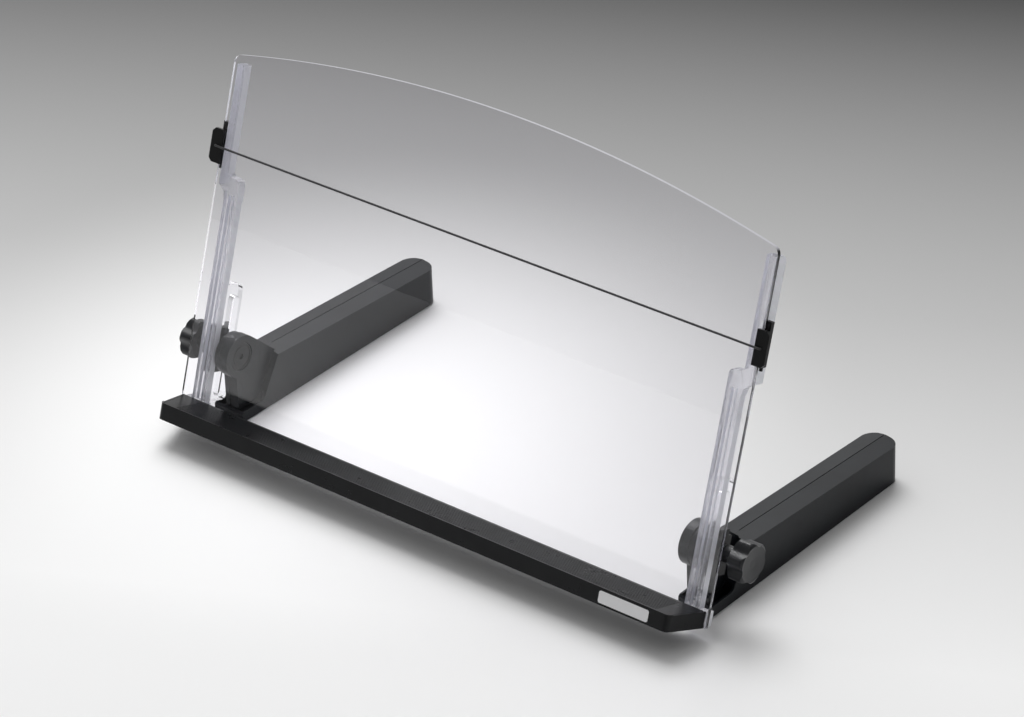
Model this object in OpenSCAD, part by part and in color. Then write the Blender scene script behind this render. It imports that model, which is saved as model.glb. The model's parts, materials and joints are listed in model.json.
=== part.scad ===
// Free-standing copy holder: a clear leaning panel with a paper ledge and a line guide,
// carried by slotted rails on two low arms, with a clamping knob at each pivot.
// Millimetres, +Z up, +X to the reader's right, the reader stands at -Y.

/* [Panel] */
// Width of the clear panel
panel_w = 457.2; // [440:1:480]
// Thickness of the clear panel
panel_t = 3; // [2.5:0.1:3.5]
// Height of the panel's top corners above the ledge top
corner_h = 243; // [240:1:255]
// Rise of the curved top edge from the corners to the middle
crown_rise = 24.3; // [15:0.1:35]
// Radius of the two top corners
corner_r = 5.5; // [3:0.5:8]
// Lean of the panel behind the vertical, in degrees
lean = 18.48; // [17:0.1:21]

/* [Ledge] */
// Reach of the ledge in front of the panel
ledge_depth = 31.5; // [28:0.5:36]
// Height of the ledge's front face
ledge_h = 11.3; // [10.5:0.1:12]
// Distance from a panel side to the ledge's end at the panel
ledge_end_gap = 1.6; // [0:0.1:6]
// How much each end of the ledge draws in towards the front
ledge_taper = 7; // [2:0.5:10]
// Radius of the ledge's front corners
ledge_corner_r = 4; // [2:0.5:6]
// Wall of the ledge moulding
ledge_wall = 2.2; // [1.8:0.1:2.5]
// Thickness of the ledge's top plate
top_plate_t = 1.8; // [1.5:0.1:2.2]
// Width of the bead along the ledge's front edge
bead_w = 1.6; // [1.2:0.1:2.5]
// Height of that bead above the ledge top
bead_h = 0.5; // [0.3:0.1:0.8]
// Spacing of the lengthwise grooves in the top plate
groove_pitch = 2; // [1.8:0.1:2.5]
// Width of a groove
groove_w = 0.7; // [0.4:0.1:1]
// Depth of a groove
groove_depth = 0.4; // [0.2:0.1:0.6]
// Plain length at each end of the top plate
plain_end = 12; // [10:1:25]
// Width of the blank label
label_w = 40; // [30:0.5:50]
// Height of the blank label
label_h = 8.2; // [5:0.1:9]
// Distance of the label from the ledge's front corner
label_inset = 15; // [5:0.5:20]

/* [Rails] */
// Width of a lower rail
rail_w = 11.9; // [11:0.1:12.5]
// Depth of the rails behind the panel
rail_depth = 6.5; // [5.5:0.1:6.5]
// Width of the channel in a rail's front, against the panel
channel_w = 3.8; // [3:0.1:5]
// Depth of that channel
channel_depth = 3; // [2:0.1:3.5]
// Top of the lower rail above the ledge top
rail_top = 159; // [150:1:165]
// Bottom of the lower rail below the ledge top
rail_drop = 1; // [0.5:0.5:3]
// Thickness of the slotted plate that stands behind a lower rail
lug_t = 6; // [5.5:0.1:6.5]
// Depth of the slotted plate behind the panel
lug_depth = 22; // [21.5:0.5:23]
// Top of the slotted plate above the ledge top
lug_top = 84; // [80:1:100]
// Distance of the slot's centre line behind the panel's front
slot_m = 19; // [18.9:0.1:20]
// Width of the slot
slot_w = 7; // [6.6:0.1:7.4]
// Material left at the slot's upper end, below the plate's top
slot_top_wall = 9; // [8:1:14]
// Height of the slot's lower end above the ledge top
slot_bottom = 1; // [0:0.5:3]
// Width of an upper rail
flange_w = 7; // [6:0.1:7.5]
// Depth of the rib along the outer side of an upper rail
flange_rib = 11.5; // [8:0.5:13]
// Top of the upper rail above the ledge top
flange_top = 237; // [230:1:239]
// Distance of the upper rail's outer face from the panel's side
flange_inset = 2; // [1.8:0.1:2.6]
// Height of the bend that joins the lower rail to the upper one
bend_h = 6; // [4:0.5:8]
// Depth of the foot block behind the panel
foot_depth = 6.5; // [5.5:0.1:6.5]

/* [Arms] */
// Distance of an arm's seam in from the panel's side
seam_inset = 25.6; // [25.1:0.1:27.6]
// Width of an arm's half shell
half_w = 13.1; // [12.6:0.1:13.1]
// Wall of the arm shells
arm_wall = 2.2; // [1.8:0.1:3]
// Length of an arm behind the pivot
arm_len = 200.9; // [180:1:230]
// Height of an arm's top edges above the floor, at the pivot
arm_h = 38.2; // [36:0.1:40]
// Fall of an arm's top towards the rear, in degrees
arm_fall = 2.86; // [1:0.1:4]
// Rise of the middle of an arm's top above its edges
ridge_rise = 1.9; // [1:0.1:3]
// Radius of an arm's rear corners
arm_rear_r = 9; // [6:0.5:11]
// Height of the pivot above the floor
pivot_z = 47.5; // [47.3:0.1:50]
// Radius of the pivot head
head_r = 15.6; // [13:0.1:15.6]
// Thickness of the head on the inboard side of the seam
head_in = 7.6; // [6:0.1:9.5]
// Thickness of the head on the outboard side of the seam
head_out = 4; // [3.5:0.1:4.4]
// Height of the toe's top
toe_h = 8.5; // [6:0.1:8.6]
// Radius of a rubber foot
foot_r = 6; // [4:0.5:8]
// How far a foot stands out below the arm
foot_out = 0.6; // [0.3:0.1:1]

/* [Clamps] */
// Radius of the pivot bolt
bolt_r = 2.5; // [2:0.1:2.6]
// Radius of the bolt's head
bolt_head_r = 9.8; // [8:0.1:11]
// Thickness of the bolt's head
bolt_head_t = 2.6; // [2:0.1:3]
// Thickness of the friction washer
washer_t = 1.2; // [0.8:0.1:1.4]
// Height of the rest position of the pivot along the rail, above the ledge top
rest_h = 34.9; // [34:0.1:35.1]
// Length of the key in the slot
key_len = 14; // [10:1:16]
// Thickness of the clamp plate
clamp_t = 4.5; // [4:0.1:4.7]
// Reach of the clamp plate behind the bolt
clamp_rear = 6; // [5.5:0.1:6.5]
// Reach of the clamp plate below the bolt
clamp_below = 16.2; // [12:0.1:18]
// Reach of the clamp plate above the bolt
clamp_above = 11.3; // [10:0.1:16]
// Thickness of the spring washer
spring_washer_t = 1.6; // [1:0.1:2]
// Length of the knob's neck
neck_len = 10; // [8.5:0.1:11]
// Radius of the knob's neck
neck_r = 6; // [5.5:0.1:7]
// Thickness of the knob's grip
grip_t = 12.2; // [10:0.1:14]
// Radius of the knob over its lobes
grip_r = 14.8; // [14:0.1:16]
// Depth of the hollows between the lobes
lobe_depth = 3; // [2:0.1:4]

/* [Line guide] */
// Height of the guide cord above the ledge top
guide_h = 178.5; // [170:0.5:195]
// Height of the clip's front plate
clip_h = 24; // [20:1:30]
// Thickness of the clip's front plate
clip_t = 2.2; // [1.8:0.1:3]
// Reach of the clip's front plate in from the panel's side
clip_in = 2.6; // [2:0.1:5]
// Reach of the clip's front plate out from the panel's side
clip_out = 7.2; // [6.5:0.1:9]
// Length of the rear jaw
jaw_len = 30; // [28:1:34]
// Thickness of the rear jaw
jaw_t = 3.2; // [2:0.1:4]
// Radius of the cord
cord_r = 0.75; // [0.6:0.05:0.8]

/* [Fits] */
// Gap between pieces that slide or turn past each other
slide_gap = 0.3; // [0.2:0.05:0.35]
// Radial clearance of a turning or sliding fit
fit = 0.08; // [0.05:0.01:0.1]
// Radial clearance of a piece that sits still in its seat
seat = 0.04; // [0.02:0.01:0.06]

/* [Hidden] */
$fn = 64;

clear_colour = [0.86, 0.87, 0.93, 0.45];
black_colour = [0.10, 0.11, 0.12];
rubber_colour = [0.05, 0.05, 0.05];
steel_colour = [0.62, 0.64, 0.66];
brass_colour = [0.78, 0.62, 0.30];
label_colour = [0.93, 0.93, 0.93];
slack = 1; // overshoot of a cut past the faces that it opens

// The pivot's place, measured from the line where the ledge top meets the panel's front
pivot_y = slot_m * cos(lean) + rest_h * sin(lean);
front_y = -(ledge_depth * cos(lean) + ledge_h * sin(lean));
middle_y = (front_y + pivot_y + arm_len) / 2;

half_panel = panel_w / 2;
panel_top_r = (half_panel * half_panel + crown_rise * crown_rise) / (2 * crown_rise);
crown_centre = corner_h + crown_rise - panel_top_r;
corner_x = half_panel - corner_r;
corner_z = crown_centre + sqrt(pow(panel_top_r - corner_r, 2) - corner_x * corner_x);
crown_half_angle = asin(corner_x / (panel_top_r - corner_r));

// Places across the object, on the right-hand side
seam_x = half_panel - seam_inset;
head_face = seam_x + head_out;
washer_x = head_face;
rail_x = washer_x + washer_t + slide_gap;
rail_face = rail_x + lug_t;
clamp_x = rail_face + slide_gap;
spring_x = clamp_x + clamp_t;
neck_x = spring_x + spring_washer_t + slide_gap;
grip_x = neck_x + neck_len;
knob_face = grip_x + grip_t;
rail_out = rail_x + rail_w;
flange_out = half_panel - flange_inset;
flange_x = flange_out - flange_w;
rail_back = panel_t + rail_depth;
plate_sink = 1.2;        // depth of the slotted plate's seat in the rail's back

arm_front = -9;          // the toe's front, measured from the pivot
post_front = -6.6;       // the post's front face
cut_foot = 11.4;         // where the toe meets the slanted front of the arm
cut_top = 34.9;          // where that front meets the arm's top
head_back = 24;          // where the outboard head moulding meets the outer shell
toe_wall = 1.4;
arm_base = foot_out;
pin_r = 2;
pin_len = 12;
pin_boss_r = 4.5;
pin_places = [56, 118, arm_len - 22.9];   // behind the pivot
foot_places = [32, arm_len - 15.9];
foot_sink = 1.4;
screw_end = 48.6;        // the outermost screws' distance from the panel's side
screw_places = [for (k = [-1:0.5:1]) k * (half_panel - screw_end)];
screw_r = 1.5;
screw_head_r = 3.2;
screw_len = 9;
label_t = 0.3;

// A run of points round a circle
function arc(cx, cy, r, from, to, steps) =
    [for (i = [0:steps]) let (a = from + (to - from) * i / steps) [cx + r * cos(a), cy + r * sin(a)]];

// The same points on the other side, in the order that closes the outline
function mirrored(points) =
    [for (i = [len(points) - 1:-1:0]) [-points[i][0], points[i][1]]];

// Plan of the ledge, drawn in on all free sides by one distance
function ledge_plan(inset) =
    let (back_x = half_panel - ledge_end_gap - inset,
         front_m = -ledge_depth + inset,
         taper = ledge_taper * -front_m / ledge_depth,
         r = max(ledge_corner_r - inset, 0.5),
         side = norm([taper, front_m]),
         cx = back_x - taper - r * (side - taper) / -front_m,
         tilt = atan(taper / -front_m),
         right = concat([[back_x, 0]], arc(cx, front_m + r, r, -tilt, -90, 10)))
    concat(right, mirrored(right));

// Places children in the leaning frame: x across, y behind the panel's front, z up the panel
module on_platform() {
    translate([0, pivot_y - middle_y, pivot_z]) rotate([-lean, 0, 0])
        translate([0, -slot_m, -rest_h]) children();
}

// Places children in the standing frame: y behind the pivot, z above the floor
module on_base() {
    translate([0, pivot_y - middle_y, 0]) children();
}

// Extrudes an outline of (y, z) points along X
module along_x(x, length) {
    translate([x, 0, 0]) rotate([90, 0, 90]) linear_extrude(length) children();
}

// A round bar along X, at the pivot of the standing frame
module pivot_bar(x, length, r) {
    translate([x, 0, pivot_z]) rotate([0, 90, 0]) cylinder(h = length, r = r);
}

// A round bar along X, at the bolt's place on the leaning frame
module bolt_bar(x, length, r) {
    translate([x, slot_m, rest_h]) rotate([0, 90, 0]) cylinder(h = length, r = r);
}

// A rectangle in (y, z) with its two rear corners rounded
module rear_rounded(y, z, depth, height, lower_r, upper_r) {
    translate([y, z]) square([depth - max(lower_r, upper_r), height]);
    translate([y, z + lower_r]) square([depth, height - lower_r - upper_r]);
    translate([y + depth - lower_r, z + lower_r]) circle(r = lower_r);
    translate([y + depth - upper_r, z + height - upper_r]) circle(r = upper_r);
}

// ---- the leaning platform ----

module clear_panel() {
    crown = arc(0, crown_centre, panel_top_r, 90 - crown_half_angle, 90 + crown_half_angle, 60);
    right = concat([[half_panel, -ledge_h]],
        arc(corner_x, corner_z, corner_r, 0, 90 - crown_half_angle, 8));
    color(clear_colour) on_platform() difference() {
        translate([0, panel_t, 0]) rotate([90, 0, 0]) linear_extrude(panel_t)
            polygon(concat(right, crown, mirrored(right)));
        for (x = screw_places)
            translate([x, -slack, -ledge_h / 2]) rotate([-90, 0, 0])
                cylinder(h = panel_t + 2 * slack, r = screw_r + fit);
    }
}

// Side outline of the bend, in (x, z), which carries the lower rail over to the upper one
module bend_outline() {
    r = 4;
    corner = arc(rail_x + r, rail_top - r, r, 180, 90, 8);
    hollow = arc(flange_x - r, rail_top + r, r, -90, 0, 8);
    outer = rail_top - bend_h;
    polygon(concat([[rail_x, outer - bend_h - r]], corner, hollow,
        [[flange_out, rail_top + r], [flange_out, outer + 1], [flange_out - 1.5, outer - 1.5],
            [rail_out + 1, outer - bend_h + 1], [rail_out, outer - bend_h - r]]));
}

module rail() {
    bend_foot = rail_top - 2 * bend_h - 4;
    flange_foot = rail_top + 4;
    round_r = 5;
    edge = 0.8;
    middle = (rail_x + rail_out) / 2;
    color(clear_colour) on_platform() difference() {
        union() {
            // the lower rail, its rear edges cut
            translate([0, 0, -rail_drop]) linear_extrude(bend_foot + rail_drop)
                polygon([[rail_x, panel_t], [rail_out, panel_t], [rail_out, rail_back - edge],
                    [rail_out - edge, rail_back], [rail_x + edge, rail_back], [rail_x, rail_back - edge]]);
            translate([0, rail_back, 0]) rotate([90, 0, 0])
                linear_extrude(rail_depth) bend_outline();
            // the upper rail, with a rib along its outer side
            intersection() {
                translate([0, 0, flange_foot]) linear_extrude(flange_top - flange_foot)
                    polygon([[flange_x, panel_t], [flange_out, panel_t],
                        [flange_out, panel_t + flange_rib], [flange_out - 1.6, panel_t + flange_rib],
                        [flange_out - 2.4, rail_back + 1], [flange_x, rail_back]]);
                along_x(flange_x - slack, flange_w + 2 * slack)
                    rear_rounded(panel_t, flange_foot, flange_rib, flange_top - flange_foot, 0.5, round_r);
            }
            translate([flange_out - 1.6, panel_t, rail_top - bend_h - 1])
                cube([1.6, flange_rib, bend_h + 5.01]);
            // the foot block beside the ledge's end
            translate([rail_x, panel_t, -ledge_h])
                cube([flange_out - rail_x, foot_depth, ledge_h - rail_drop + 0.01]);
        }
        translate([middle - channel_w / 2, panel_t - slack, 0])
            cube([channel_w, channel_depth + slack, rail_top - bend_h - 6]);
        // the seat of the slotted plate
        translate([rail_x - slack, rail_back - plate_sink, -rail_drop - slack])
            cube([lug_t + slack, plate_sink + slack, lug_top + rail_drop + slack]);
    }
}

// The plate that stands on the rail's back and carries the slot
module slot_plate() {
    slot_top = lug_top - slot_top_wall;
    front = rail_back - plate_sink;
    color(clear_colour) on_platform() difference() {
        along_x(rail_x, lug_t)
            rear_rounded(front, -rail_drop, panel_t + lug_depth - front, lug_top + rail_drop, 5, 7);
        for (z = [slot_bottom + slot_w / 2, slot_top - slot_w / 2])
            translate([rail_x - slack, slot_m, z]) rotate([0, 90, 0])
                cylinder(h = lug_t + 2 * slack, r = slot_w / 2);
        translate([rail_x - slack, slot_m - slot_w / 2, slot_bottom + slot_w / 2])
            cube([lug_t + 2 * slack, slot_w, slot_top - slot_bottom - slot_w]);
    }
}

module ledge_body() {
    floor_z = -ledge_h + ledge_wall;
    seat_z = -top_plate_t;
    end_block = 12.6;
    pocket = (panel_w - 2 * end_block) / 12;
    color(black_colour) on_platform() difference() {
        union() {
            translate([0, 0, -ledge_h]) linear_extrude(ledge_h) polygon(ledge_plan(0));
            linear_extrude(bead_h) intersection() {
                difference() {
                    polygon(ledge_plan(0));
                    polygon(ledge_plan(bead_w));
                }
                translate([-half_panel, -ledge_depth]) square([panel_w, ledge_corner_r]);
            }
        }
        // the seat of the top plate
        translate([0, 0, seat_z]) linear_extrude(top_plate_t + slack) polygon(ledge_plan(bead_w));
        // a row of pockets under the top plate, with ribs between them
        for (x = [-5.5:5.5])
            translate([x * pocket - pocket / 2 + ledge_wall / 2, -ledge_depth + bead_w + ledge_wall, floor_z])
                cube([pocket - ledge_wall, ledge_depth - bead_w - ledge_wall - screw_len, ledge_h]);
        for (x = screw_places)
            translate([x, slack, -ledge_h / 2]) rotate([90, 0, 0])
                cylinder(h = screw_len + slack, r = screw_r + seat);
    }
}

module ledge_top_plate() {
    gap = 0.25;
    half_ridged = half_panel - ledge_end_gap - ledge_taper - plain_end;
    first = -ledge_depth + bead_w + groove_pitch;
    color(black_colour) on_platform() difference() {
        translate([0, 0, -top_plate_t]) linear_extrude(top_plate_t)
            polygon(ledge_plan(bead_w + gap));
        for (y = [first:groove_pitch:-groove_pitch])
            translate([-half_ridged, y, -groove_depth])
                cube([2 * half_ridged, groove_w, groove_depth + slack]);
    }
}

module ledge_label() {
    r = 1.4;
    x = half_panel - ledge_end_gap - ledge_taper - label_inset - label_w;
    z = -ledge_h / 2 - label_h / 2;
    color(label_colour) on_platform() translate([0, -ledge_depth, 0]) rotate([90, 0, 0])
        linear_extrude(label_t) {
            translate([x + r, z]) square([label_w - 2 * r, label_h]);
            translate([x, z + r]) square([label_w, label_h - 2 * r]);
            for (cx = [x + r, x + label_w - r], cz = [z + r, z + label_h - r])
                translate([cx, cz]) circle(r = r);
        }
}

module ledge_screws() {
    head_t = 1.6;
    color(steel_colour) on_platform() for (x = screw_places)
        translate([x, panel_t, -ledge_h / 2]) {
            rotate([90, 0, 0]) cylinder(h = panel_t + screw_len - 0.5, r = screw_r);
            rotate([-90, 0, 0]) difference() {
                cylinder(h = head_t, r = screw_head_r);
                translate([-screw_head_r, -0.4, head_t - 0.7]) cube([2 * screw_head_r, 0.8, 1]);
                translate([-0.4, -screw_head_r, head_t - 0.7]) cube([0.8, 2 * screw_head_r, 1]);
            }
        }
}

// ---- the line guide ----

cord_x = half_panel + clip_out - 4.7;
cord_bend = 1;
cord_m = -slide_gap - clip_t - cord_bend;
clip_gap_x = half_panel + slide_gap;
web_w = 3;
window = 8;
ferrule_r = 1.7;
ferrule_len = 2.6;

module guide_clip() {
    back = -slide_gap;
    chamfer = 2.5;
    x0 = half_panel - clip_in;
    x1 = half_panel + clip_out;
    z0 = guide_h - clip_h / 2;
    z1 = guide_h + clip_h / 2;
    web_d = panel_t + 2 * slide_gap;
    color(black_colour) on_platform() difference() {
        union() {
            translate([0, back, 0]) rotate([90, 0, 0]) linear_extrude(clip_t)
                polygon([[x0, z0], [x1 - chamfer, z0], [x1, z0 + chamfer],
                    [x1, z1 - chamfer], [x1 - chamfer, z1], [x0, z1]]);
            for (z = [z0 + 1, guide_h + window / 2])
                translate([clip_gap_x, back - 0.01, z])
                    cube([web_w, web_d + 0.01, (clip_h - window) / 2 - 1]);
        }
        translate([cord_x, back + slack, guide_h]) rotate([90, 0, 0])
            cylinder(h = clip_t + 2 * slack, r = cord_r + fit);
    }
}

module guide_jaw() {
    z0 = guide_h - jaw_len / 2 + 2;
    x0 = flange_out + slide_gap + 0.1;
    x1 = clip_gap_x + web_w;
    color(black_colour) on_platform() {
        translate([x0, panel_t + slide_gap, z0]) cube([x1 - x0, jaw_t, jaw_len]);
        translate([(x0 + x1) / 2, panel_t + slide_gap + jaw_t / 2, z0 - 3])
            cylinder(h = 3, r = 1.2);
    }
}

module cord_ferrule() {
    color(black_colour) on_platform() translate([cord_x, -slide_gap, guide_h]) rotate([-90, 0, 0])
        difference() {
            cylinder(h = ferrule_len, r = ferrule_r);
            translate([0, 0, -slack]) cylinder(h = ferrule_len + 2 * slack, r = cord_r + seat);
        }
}

module guide_cord() {
    straight = cord_x - cord_bend;
    color(rubber_colour) on_platform() translate([0, 0, guide_h]) {
        translate([-straight, cord_m, 0]) rotate([0, 90, 0]) cylinder(h = 2 * straight, r = cord_r);
        for (side = [-1, 1]) mirror([side < 0 ? 1 : 0, 0, 0]) {
            translate([straight, cord_m + cord_bend, 0]) rotate([0, 0, -90])
                rotate_extrude(angle = 90) translate([cord_bend, 0]) circle(r = cord_r);
            translate([cord_x, cord_m + cord_bend, 0]) rotate([-90, 0, 0])
                cylinder(h = clip_t + ferrule_len + 0.4, r = cord_r);
        }
    }
}

// ---- the standing base ----

// Cuts away what lies above one flank of the arm's top
module above_flank() {
    rotate([-arm_fall, 0, 0]) rotate([0, atan(ridge_rise / half_w), 0])
        translate([-half_w, -arm_len, 0]) cube([4 * half_w, 3 * arm_len, 2 * arm_h]);
}

ridge_h = arm_h + ridge_rise;

// Side outline of the arm behind its slanted front, with the toe
module arm_side() {
    r = 6;
    polygon(concat(
        [[arm_front, arm_base], [arm_front, toe_h - 1.5], [arm_front + 1.5, toe_h]],
        arc(cut_foot - 1, toe_h + r, r, -90, -39, 8),
        [[cut_foot + 8.8, toe_h + 11.2], [cut_top - 5.6, arm_h - 3.5], [cut_top - 2.5, ridge_h - 1.2],
            [cut_top, ridge_h + 1],
            [arm_len, ridge_h + 1], [arm_len, arm_base]]));
}

// Side outline of the head: a round boss, its post and a web back into the arm
module head_side(r) {
    reach = [cut_top, ridge_h - 4 - pivot_z];
    a = atan2(reach[1], reach[0]) + acos(r / norm(reach));
    translate([0, pivot_z]) circle(r = r);
    polygon([[post_front, arm_base], [post_front, pivot_z - r * 0.5],
        [0, pivot_z], [r * cos(a), pivot_z + r * sin(a)],
        [cut_top, pivot_z + reach[1]], [cut_top, arm_base]]);
}

// Plan of the rear end, which rounds the two rear corners
module rear_plan() {
    w = 2 * half_w;
    translate([-half_w, arm_front - slack]) square([w, arm_len - arm_rear_r - arm_front + slack]);
    translate([-half_w + arm_rear_r, arm_front]) square([w - 2 * arm_rear_r, arm_len - arm_front]);
    for (side = [-1, 1])
        translate([side * (half_w - arm_rear_r), arm_len - arm_rear_r]) circle(r = arm_rear_r);
}

// Half an arm, as the outboard half of an arm whose seam lies at x = 0
module arm_half(head_t, head_radius) {
    groove = 0.3;
    cavity_front = cut_top + 6;
    difference() {
        union() {
            difference() {
                intersection() {
                    along_x(0, half_w) arm_side();
                    linear_extrude(2 * arm_h) rear_plan();
                }
                translate([0, 0, ridge_h]) above_flank();
            }
            along_x(0, head_t) head_side(head_radius);
        }
        // the open channel of the toe, beside the post
        translate([head_t + 0.6, arm_front + toe_wall, arm_base + toe_wall])
            cube([half_w - head_t - 0.6 - toe_wall, cut_foot - arm_front - toe_wall + 5, arm_h / 2]);
        // the seam's groove along the top and down the rear end
        rotate([-arm_fall, 0, 0]) translate([-slack, cut_top + 1, ridge_h - 1.2])
            cube([slack + groove, 2 * arm_len, 4]);
        translate([-slack, arm_len - 0.8, arm_base - slack]) cube([slack + groove, 2, 2 * arm_h]);
        // the same groove round the head and down the post's front
        translate([-slack, 0, pivot_z]) rotate([0, 90, 0]) difference() {
            cylinder(h = slack + groove, r = head_radius + slack);
            translate([0, 0, -slack]) cylinder(h = groove + 3 * slack, r = head_radius - 0.8);
        }
        translate([-slack, post_front - slack, arm_base - slack])
            cube([slack + groove, slack + 0.8, pivot_z - head_radius / 2]);
        // the hollow of the shell, less the pin bosses
        difference() {
            translate([-slack, cavity_front, arm_base + arm_wall])
                cube([half_w - arm_wall + slack, arm_len - arm_rear_r - cavity_front,
                    arm_h - arm_base - 2 * arm_wall - arm_len * tan(arm_fall) - 1]);
            for (y = pin_places)
                translate([-2 * slack, y, arm_h / 2]) rotate([0, 90, 0])
                    cylinder(h = half_w + 4, r = pin_boss_r);
        }
        for (y = pin_places)
            translate([-slack, y, arm_h / 2]) rotate([0, 90, 0])
                cylinder(h = pin_len / 2 + slack + 0.2, r = pin_r + seat);
        for (y = foot_places)
            translate([0, y, arm_base - slack]) cylinder(h = foot_sink + slack, r = foot_r + seat);
    }
}

// The room of the outboard head, post and toe web, which are a moulding of their own
module outer_head_room() {
    translate([-slack, -2 * head_r, -slack])
        cube([slack + head_out, 2 * head_r + head_back, pivot_z + 2 * head_r]);
}

module arm_outer_shell() {
    color(black_colour) on_base() translate([seam_x, 0, 0]) difference() {
        arm_half(head_out, head_r - 0.6);
        outer_head_room();
    }
}

module arm_outer_head() {
    color(black_colour) on_base() difference() {
        translate([seam_x, 0, 0]) intersection() {
            arm_half(head_out, head_r - 0.6);
            outer_head_room();
        }
        pivot_bar(seam_x - slack, head_out + 2 * slack, bolt_r + seat);
    }
}

module arm_inner_shell() {
    face = seam_x - head_in;
    color(black_colour) on_base() difference() {
        translate([seam_x, 0, 0]) mirror([1, 0, 0]) arm_half(head_in, head_r);
        pivot_bar(face - slack, head_in + 2 * slack, bolt_r + seat);
        pivot_bar(face - slack, bolt_head_t + slack, bolt_head_r + 0.5);
    }
}

module arm_pins() {
    color(steel_colour) on_base() for (y = pin_places)
        translate([seam_x - pin_len / 2, y, arm_h / 2]) rotate([0, 90, 0])
            cylinder(h = pin_len, r = pin_r);
}

module arm_feet() {
    color(rubber_colour) on_base() for (y = foot_places)
        translate([seam_x, y, 0]) cylinder(h = foot_out + foot_sink, r = foot_r);
}

module pivot_bolt() {
    face = seam_x - head_in;
    socket_r = 2.3;
    ring = 1.2;
    color(black_colour) on_base() difference() {
        union() {
            pivot_bar(face + 0.4, bolt_head_t - 0.4, bolt_head_r);
            pivot_bar(face + bolt_head_t - 0.01, grip_x + 3 - face - bolt_head_t, bolt_r);
        }
        translate([face, 0, pivot_z]) rotate([0, 90, 0]) cylinder(h = 2, r = socket_r, $fn = 6);
        difference() {
            pivot_bar(face, 0.8, bolt_head_r - ring);
            pivot_bar(face - slack, 0.8 + 2 * slack, bolt_head_r - 2 * ring);
        }
    }
}

module friction_washer() {
    color([0.35, 0.37, 0.40]) on_base() difference() {
        pivot_bar(washer_x, washer_t, head_r - 2);
        pivot_bar(washer_x - slack, washer_t + 2 * slack, bolt_r + seat);
    }
}

// ---- the carriage, which tilts on the bolt and slides in the slot ----

module slot_key() {
    key_w = slot_w - 2 * fit;
    color(black_colour) on_platform() difference() {
        translate([rail_x + 0.1, slot_m - key_w / 2, rest_h - key_len / 2])
            cube([clamp_x - rail_x - 0.1, key_w, key_len]);
        bolt_bar(rail_x - slack, lug_t + 3 * slack, bolt_r + fit);
    }
}

module clamp_plate() {
    front = rail_back + slide_gap;
    depth = slot_m + clamp_rear - front;
    tab_h = 4.5;
    r = 1.5;
    top = rest_h + clamp_above;
    color(black_colour) on_platform() difference() {
        union() {
            translate([clamp_x, front, rest_h - clamp_below])
                cube([clamp_t, depth, clamp_below + clamp_above - r]);
            translate([clamp_x, front + r, top - r - 0.01]) cube([clamp_t, depth - 2 * r, r + 0.01]);
            for (y = [front + r, front + depth - r])
                translate([clamp_x, y, top - r]) rotate([0, 90, 0]) cylinder(h = clamp_t, r = r);
            translate([clamp_x, front + depth / 4, top - 0.01]) cube([clamp_t, depth / 2, tab_h]);
        }
        bolt_bar(clamp_x - slack, clamp_t + 2 * slack, bolt_r + fit);
    }
}

module spring_washer() {
    color(steel_colour) on_platform() difference() {
        bolt_bar(spring_x, spring_washer_t, neck_r - 0.8);
        bolt_bar(spring_x - slack, spring_washer_t + 2 * slack, bolt_r + fit);
    }
}

// ---- the knobs ----

insert_r = 4;
insert_len = 8;

module knob() {
    lobes = 6;
    bevel = 2.2;
    dish = 0.9;
    outline = [for (i = [0:143]) let (a = i * 2.5)
        let (r = grip_r - lobe_depth / 2 * (1 - cos(lobes * a))) [r * cos(a), r * sin(a)]];
    color(black_colour) on_base() translate([neck_x, 0, pivot_z]) rotate([0, 90, 0])
        difference() {
            union() {
                cylinder(h = neck_len + 0.01, r = neck_r);
                intersection() {
                    translate([0, 0, neck_len]) linear_extrude(grip_t) polygon(outline);
                    translate([0, 0, neck_len]) rotate_extrude()
                        polygon([[0, 0], [grip_r - bevel, 0], [grip_r, bevel * 0.7],
                            [grip_r, grip_t - bevel], [grip_r - 0.6, grip_t - bevel * 0.45],
                            [grip_r - bevel, grip_t], [grip_r - bevel - 2, grip_t - dish * 0.3],
                            [3, grip_t - dish], [0, grip_t - dish]]);
                }
            }
            translate([0, 0, -slack]) cylinder(h = insert_len + slack, r = insert_r + seat);
            translate([0, 0, insert_len - 0.01])
                cylinder(h = neck_len + 4 - insert_len, r = bolt_r + 0.3);
        }
}

module knob_insert() {
    color(brass_colour) on_base() difference() {
        pivot_bar(neck_x, insert_len - 0.1, insert_r);
        pivot_bar(neck_x - slack, insert_len + 2 * slack, bolt_r + fit);
    }
}

// ---- the left-hand pieces mirror the right-hand ones ----

module left() { mirror([1, 0, 0]) children(); }

clear_panel();
left() rail();  // left_rail
rail();  // right_rail
left() slot_plate();  // left_slot_plate
slot_plate();  // right_slot_plate
ledge_body();
ledge_top_plate();
ledge_label();
ledge_screws();
left() guide_clip();  // left_guide_clip
guide_clip();  // right_guide_clip
left() guide_jaw();  // left_guide_jaw
guide_jaw();  // right_guide_jaw
left() cord_ferrule();  // left_cord_ferrule
cord_ferrule();  // right_cord_ferrule
guide_cord();
left() arm_outer_shell();  // left_arm_outer_shell
arm_outer_shell();  // right_arm_outer_shell
left() arm_outer_head();  // left_arm_outer_head
arm_outer_head();  // right_arm_outer_head
left() arm_inner_shell();  // left_arm_inner_shell
arm_inner_shell();  // right_arm_inner_shell
left() arm_pins();  // left_arm_pins
arm_pins();  // right_arm_pins
left() arm_feet();  // left_arm_feet
arm_feet();  // right_arm_feet
left() pivot_bolt();  // left_pivot_bolt
pivot_bolt();  // right_pivot_bolt
left() friction_washer();  // left_friction_washer
friction_washer();  // right_friction_washer
left() slot_key();  // left_slot_key
slot_key();  // right_slot_key
left() clamp_plate();  // left_clamp_plate
clamp_plate();  // right_clamp_plate
left() spring_washer();  // left_spring_washer
spring_washer();  // right_spring_washer
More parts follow.
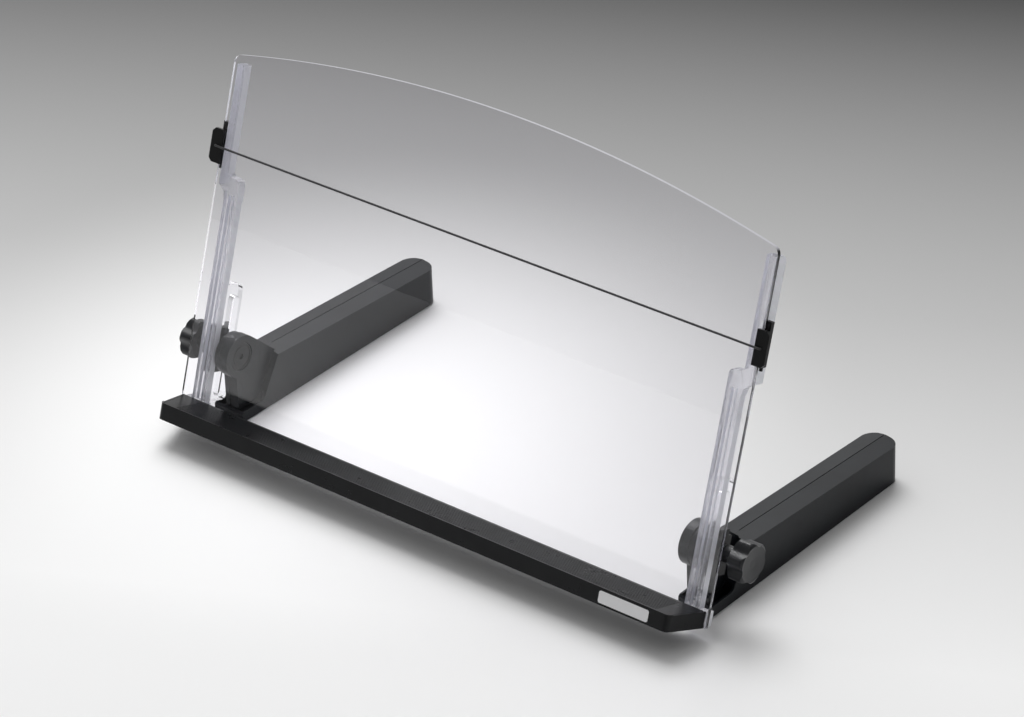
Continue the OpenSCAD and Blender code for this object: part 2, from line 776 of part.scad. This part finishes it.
left() knob();  // left_knob
knob();  // right_knob
left() knob_insert();  // left_knob_insert
knob_insert();  // right_knob_insert
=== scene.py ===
"""Looks of the copy holder with line guide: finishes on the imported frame, studio floor, light and camera."""

import json
import math

import bpy
from mathutils import Matrix, Vector

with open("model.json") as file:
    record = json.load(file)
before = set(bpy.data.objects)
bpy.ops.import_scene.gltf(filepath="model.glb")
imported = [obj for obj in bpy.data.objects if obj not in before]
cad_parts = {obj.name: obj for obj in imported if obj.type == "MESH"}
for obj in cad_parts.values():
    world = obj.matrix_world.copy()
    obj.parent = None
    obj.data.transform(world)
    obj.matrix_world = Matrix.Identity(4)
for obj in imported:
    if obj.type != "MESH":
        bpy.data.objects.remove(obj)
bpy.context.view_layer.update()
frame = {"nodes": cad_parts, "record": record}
nodes = frame["nodes"]
scene = bpy.context.scene

# ---- camera: the photograph's viewpoint, in the frame's own metres ----

CAMERA_PLACE = (1.70887, -2.01649, 1.65106)
CAMERA_YAW = -40.46  # degrees from +Y, negative towards -X
CAMERA_PITCH = 30.70  # degrees below the horizon
CAMERA_ROLL = -2.20
CAMERA_LENS = 160.9  # focal length in millimetres, on a sensor of the width below
SENSOR = 36.0
CAMERA_REACH = 50  # metres


def make_camera():
    """The camera, turned by its yaw, pitch and roll."""
    yaw, pitch, roll = (math.radians(a) for a in (CAMERA_YAW, CAMERA_PITCH, CAMERA_ROLL))
    ahead = Vector((math.sin(yaw) * math.cos(pitch), math.cos(yaw) * math.cos(pitch), -math.sin(pitch)))
    level = Vector((math.cos(yaw), -math.sin(yaw), 0))
    above = level.cross(ahead)
    right = math.cos(roll) * level + math.sin(roll) * above
    up = -math.sin(roll) * level + math.cos(roll) * above
    data = bpy.data.cameras.new("camera")
    data.lens = CAMERA_LENS
    data.sensor_width = SENSOR
    data.clip_end = CAMERA_REACH
    camera = bpy.data.objects.new("camera", data)
    camera.matrix_world = Matrix((right, up, -ahead)).transposed().to_4x4()
    camera.location = CAMERA_PLACE
    scene.collection.objects.link(camera)
    scene.camera = camera


# ---- materials ----

LEAN = math.radians(18.48)  # of the panel behind the vertical
UP_THE_PANEL = (0, math.sin(LEAN), math.cos(LEAN))


def fill(node, **values):
    """Sets a node's input sockets, where an underscore in a name stands for a space."""
    for key, value in values.items():
        node.inputs[key.replace("_", " ")].default_value = value
    return node


class Graph:
    """A material's node tree, with short ways to add and join nodes."""

    def __init__(self, name):
        self.material = bpy.data.materials.new(name)
        self.material.use_nodes = True
        self.tree = self.material.node_tree
        self.tree.nodes.clear()
        self.out = self.add("ShaderNodeOutputMaterial")

    def add(self, kind, **settings):
        node = self.tree.nodes.new(kind)
        for key, value in settings.items():
            setattr(node, key, value)
        return node

    def join(self, source, target):
        self.tree.links.new(source, target)

    def principled(self, colour=None, **values):
        shader = fill(self.add("ShaderNodeBsdfPrincipled"), **values)
        if colour is not None:
            fill(shader, Base_Color=(*colour, 1))
        return shader

    def blend(self, factor, first, second):
        mix = self.add("ShaderNodeMixShader")
        self.join(factor, mix.inputs["Fac"])
        self.join(first, mix.inputs[1])
        self.join(second, mix.inputs[2])
        return mix.outputs[0]

    def finish(self, surface):
        self.join(surface, self.out.inputs["Surface"])
        return self.material

    def place(self):
        return self.add("ShaderNodeTexCoord").outputs["Object"]

    def noise(self, scale, detail=2.0, roughness=0.5, stretch=(1, 1, 1)):
        mapping = fill(self.add("ShaderNodeMapping"), Scale=stretch)
        self.join(self.place(), mapping.inputs["Vector"])
        node = fill(self.add("ShaderNodeTexNoise"), Scale=scale, Detail=detail, Roughness=roughness)
        self.join(mapping.outputs["Vector"], node.inputs["Vector"])
        return node.outputs["Fac"]

    def spread(self, value, low, high, start=0.0, end=1.0, curve="LINEAR"):
        node = fill(self.add("ShaderNodeMapRange", interpolation_type=curve),
                    From_Min=start, From_Max=end, To_Min=low, To_Max=high)
        self.join(value, node.inputs["Value"])
        return node.outputs["Result"]

    def measure(self, operation, vector, other):
        """A vector's DOT_PRODUCT with another, or its DISTANCE from it."""
        node = self.add("ShaderNodeVectorMath", operation=operation)
        self.join(vector, node.inputs[0])
        node.inputs[1].default_value = other
        return node.outputs["Value"]

    def colours(self, value, stops):
        node = self.add("ShaderNodeValToRGB")
        ramp = node.color_ramp
        while len(ramp.elements) < len(stops):
            ramp.elements.new(0.5)
        for element, (at, colour) in zip(ramp.elements, stops):
            element.position = at
            element.color = (*colour, 1)
        self.join(value, node.inputs["Fac"])
        return node.outputs["Color"]

    def bump(self, height, strength, distance):
        node = fill(self.add("ShaderNodeBump"), Strength=strength, Distance=distance)
        self.join(height, node.inputs["Height"])
        return node.outputs["Normal"]


def moulded_plastic(name, dark, light, roughness, grain=2600, grain_depth=0.00004, specular=0.22):
    """Black moulded plastic with a fine spark-eroded texture and slow changes in tone and gloss."""
    g = Graph(name)
    shader = g.principled(Specular_IOR_Level=specular)
    g.join(g.colours(g.noise(38, 4), [(0.3, dark), (0.7, light)]), shader.inputs["Base Color"])
    gloss = g.spread(g.noise(70, 5, 0.6), roughness - 0.04, roughness + 0.05, start=0.3, end=0.7)
    g.join(gloss, shader.inputs["Roughness"])
    g.join(g.bump(g.noise(grain, 2, 0.6), 0.35, grain_depth), shader.inputs["Normal"])
    return g.finish(shader.outputs[0])


def lit_faces(g, surface, along, colour, least):
    """Faces that look along one direction of the object, either way, are painted lighter: a painted glow for
    the light they gather.
    """
    normal = g.add("ShaderNodeTexCoord").outputs["Normal"]
    alignment = g.add("ShaderNodeMath", operation="ABSOLUTE")
    g.join(g.measure("DOT_PRODUCT", normal, along), alignment.inputs[0])
    share = g.spread(alignment.outputs["Value"], 0, 0.85, start=least, end=least + 0.3)
    return g.blend(share, surface, g.principled(colour, Roughness=0.3).outputs[0])


ACRYLIC_INDEX = 1.49
FAINT_INDEX = 1.2  # below acrylic's own, so that the outline of the slotted plates shows less


def clear_plastic(name, tint, roughness=0.0, ripple=0.00002, haze=0.0, index=ACRYLIC_INDEX, lit=None):
    """Polished clear plastic that lets the lamps through, with a slow ripple in its surface.

    lit holds what lit_faces needs, for the painted glow on a sheet's cut edge or on a moulded strip's side
    walls.
    """
    g = Graph(name)
    shader = g.principled(tint, Transmission_Weight=1 - haze, IOR=index)
    gloss = g.spread(g.noise(60, 4), roughness, roughness + 0.02, start=0.35, end=0.75)
    g.join(gloss, shader.inputs["Roughness"])
    g.join(g.bump(g.noise(22, 2), 0.2, ripple), shader.inputs["Normal"])
    through = fill(g.add("ShaderNodeBsdfTransparent"), Color=(*(0.35 + 0.62 * c for c in tint), 1))
    shadow_ray = g.add("ShaderNodeLightPath").outputs["Is Shadow Ray"]
    surface = g.blend(shadow_ray, shader.outputs[0], through.outputs[0])
    if lit is not None:
        # painted glow: a lighter opaque colour on the faces that lit names
        surface = lit_faces(g, surface, **lit)
    return g.finish(surface)


def metal(name, colour, roughness):
    """Metal with fine scratches drawn out along one direction."""
    g = Graph(name)
    shader = g.principled(colour, Metallic=1)
    scratches = g.noise(900, 3, 0.6, (1, 1, 0.05))
    g.join(g.spread(scratches, roughness - 0.06, roughness + 0.1), shader.inputs["Roughness"])
    return g.finish(shader.outputs[0])


def braided_cord(name):
    """A woven elastic sleeve: fine diagonal ribs round the cord."""
    g = Graph(name)
    shader = g.principled(Roughness=0.72, Sheen_Weight=0.25)
    wave = fill(g.add("ShaderNodeTexWave", bands_direction="DIAGONAL"), Scale=420, Distortion=1.2)
    g.join(g.place(), wave.inputs["Vector"])
    ribs = g.colours(wave.outputs["Fac"], [(0, (0.008, 0.008, 0.009)), (1, (0.03, 0.03, 0.033))])
    g.join(ribs, shader.inputs["Base Color"])
    g.join(g.bump(wave.outputs["Fac"], 0.6, 0.00015), shader.inputs["Normal"])
    return g.finish(shader.outputs[0])


def film_label(name):
    """A blank white film with a satin face."""
    g = Graph(name)
    shader = g.principled()
    tone = g.colours(g.noise(300, 3), [(0, (0.86, 0.86, 0.87)), (1, (0.9, 0.9, 0.91))])
    g.join(tone, shader.inputs["Base Color"])
    g.join(g.spread(g.noise(500, 2), 0.28, 0.36), shader.inputs["Roughness"])
    return g.finish(shader.outputs[0])


def make_finishes():
    """The finishes, by the record's material slots, and two more kinds of clear plastic."""
    # painted glow on the panel's cut edge and on the strips' side walls: lighter faces that stand in for the
    # light gathered in them
    lit_edge = dict(along=UP_THE_PANEL, colour=(0.5, 0.5, 0.54), least=0.5)
    lit_walls = dict(along=(1, 0, 0), colour=(0.93, 0.94, 0.99), least=0.72)
    black = {  # dark and light tone, roughness and specular level
        "ledge_plastic": ((0.003, 0.003, 0.004), (0.006, 0.007, 0.008), 0.3, 0.22),
        "guide_plastic": ((0.003, 0.003, 0.003), (0.006, 0.006, 0.007), 0.35, 0.22),
        "arm_plastic": ((0.004, 0.005, 0.007), (0.008, 0.010, 0.013), 0.34, 0.22),
        "clamp_plastic": ((0.003, 0.003, 0.004), (0.007, 0.008, 0.009), 0.36, 0.22),
        "knob_plastic": ((0.006, 0.007, 0.009), (0.014, 0.015, 0.018), 0.34, 0.4),
        "washer_plastic": ((0.07, 0.075, 0.085), (0.11, 0.12, 0.13), 0.26, 0.5),
    }
    finishes = {slot: moulded_plastic(slot, dark, light, roughness, specular=specular)
                for slot, (dark, light, roughness, specular) in black.items()}
    finishes["rubber"] = moulded_plastic("foot_rubber", (0.006,) * 3, (0.012,) * 3, 0.8, 900, 0.0001)
    finishes["clear"] = clear_plastic("clear_acrylic", (0.955, 0.95, 0.975), lit=lit_edge)
    finishes["strip"] = clear_plastic("clear_strip", (0.95, 0.95, 0.98), roughness=0.03, ripple=0.00003,
                                      haze=0.16, lit=lit_walls)
    finishes["plate"] = clear_plastic("clear_plate", (0.97, 0.97, 0.985), index=FAINT_INDEX)
    finishes["label"] = film_label("label_film")
    finishes["cord"] = braided_cord("braided_elastic")
    finishes["steel"] = metal("plated_steel", (0.62, 0.64, 0.66), 0.3)
    finishes["brass"] = metal("turned_brass", (0.78, 0.62, 0.30), 0.32)
    return finishes


def dress():
    """Gives every CAD node its finish by the record's material slot, save the rails and slotted plates."""
    finishes = make_finishes()
    for part in frame["record"]["subparts"]:
        kind = part["material_slot"]
        if part["node"].endswith("_rail"):
            kind = "strip"
        elif part["node"].endswith("_slot_plate"):
            kind = "plate"
        mesh = nodes[part["node"]].data
        mesh.materials.clear()
        mesh.materials.append(finishes[kind])


# ---- studio ----

# Places on the floor are given across and away along the camera's heading, in metres from the origin.
FLOOR_HALF = 12.0
FLOOR_SHADE_TILT = 0.27  # how much the floor's painted shade also falls to the right
FLOOR_PAINTED_SHADE = ((-0.2, 0.85), (0.25, 0.44), (0.8, 0.06), (1.4, 0.4))  # away, tone: painted shade that darkens the floor's colour away from the camera
# a painted pool of light that lifts the floor's colour around this place
PAINTED_POOL_PLACE = (-0.12, 0.115, 0)
PAINTED_POOL_RADIUS = 0.36
PAINTED_POOL_LIFT = 0.42


def make_floor():
    """A pale sweep with painted shade that darkens it away from the camera, and a painted pool of light to the
    left of the object.
    """
    h = FLOOR_HALF
    mesh = bpy.data.meshes.new("floor")
    mesh.from_pydata([(-h, -h, 0), (h, -h, 0), (h, h, 0), (-h, h, 0)], [], [(0, 1, 2, 3)])
    floor = bpy.data.objects.new("floor", mesh)
    scene.collection.objects.link(floor)
    g = Graph("studio_floor")
    shader = g.principled(Roughness=0.9, Specular_IOR_Level=0.1)
    heading = (0, 0, math.radians(-CAMERA_YAW))
    turn = fill(g.add("ShaderNodeMapping", vector_type="TEXTURE"), Rotation=heading)
    g.join(g.place(), turn.inputs["Vector"])
    place = turn.outputs["Vector"]
    near, far = FLOOR_PAINTED_SHADE[0][0], FLOOR_PAINTED_SHADE[-1][0]
    stops = [((at - near) / (far - near), (tone,) * 3) for at, tone in FLOOR_PAINTED_SHADE]
    away = g.measure("DOT_PRODUCT", place, (FLOOR_SHADE_TILT, 1, 0))
    reach = g.measure("DISTANCE", place, PAINTED_POOL_PLACE)
    # painted pool of light, added to the floor's colour
    pool = g.spread(reach, 0, PAINTED_POOL_LIFT, start=PAINTED_POOL_RADIUS, end=0, curve="SMOOTHSTEP")
    lift = g.add("ShaderNodeVectorMath", operation="ADD")
    # painted shade that falls away from the camera, plus the painted pool of light
    g.join(g.colours(g.spread(away, 0, 1, near, far), stops), lift.inputs[0])
    g.join(pool, lift.inputs[1])
    g.join(lift.outputs["Vector"], shader.inputs["Base Color"])
    mesh.materials.append(g.finish(shader.outputs[0]))


LAMP_TARGET = (0, 0, 0.1)
BRIGHT_SIDE = Vector((-0.62, 0.58, 0.53)).normalized()  # behind, above and to the left of the object
BRIGHT_FROM, BRIGHT_TO = -0.25, 0.9  # how nearly a direction lies towards the bright side
DIM_LEVEL, BRIGHT_LEVEL = 0.07, 0.85


def area_lamp(name, place, side, watts):
    """A square lamp with sides in metres, turned to the object."""
    data = bpy.data.lights.new(name, "AREA")
    data.shape = "SQUARE"
    data.size = side
    data.energy = watts
    lamp = bpy.data.objects.new(name, data)
    lamp.location = place
    lamp.rotation_mode = "QUATERNION"
    lamp.rotation_quaternion = (Vector(LAMP_TARGET) - Vector(place)).to_track_quat("-Z", "Y")
    scene.collection.objects.link(lamp)


def make_light():
    """A softbox high behind, a weak fill at the camera, and a world that brightens towards one side."""
    area_lamp("key_softbox", (-0.9, 0.9, 2.2), 1.6, 50)
    area_lamp("front_fill", (1.5, -1.8, 1.6), 1.4, 2)
    world = bpy.data.worlds.new("studio")
    scene.world = world
    world.use_nodes = True
    tree = world.node_tree
    towards = tree.nodes.new("ShaderNodeVectorMath")
    towards.operation = "DOT_PRODUCT"
    towards.inputs[1].default_value = BRIGHT_SIDE
    tree.links.new(tree.nodes.new("ShaderNodeTexCoord").outputs["Generated"], towards.inputs[0])
    level = fill(tree.nodes.new("ShaderNodeMapRange"), From_Min=BRIGHT_FROM, From_Max=BRIGHT_TO,
                 To_Min=DIM_LEVEL, To_Max=BRIGHT_LEVEL)
    tree.links.new(towards.outputs["Value"], level.inputs["Value"])
    background = fill(tree.nodes["Background"], Color=(1, 1, 1, 1))
    tree.links.new(level.outputs["Result"], background.inputs["Strength"])


make_camera()
dress()
make_floor()
make_light()
scene.view_settings.view_transform = "Standard"
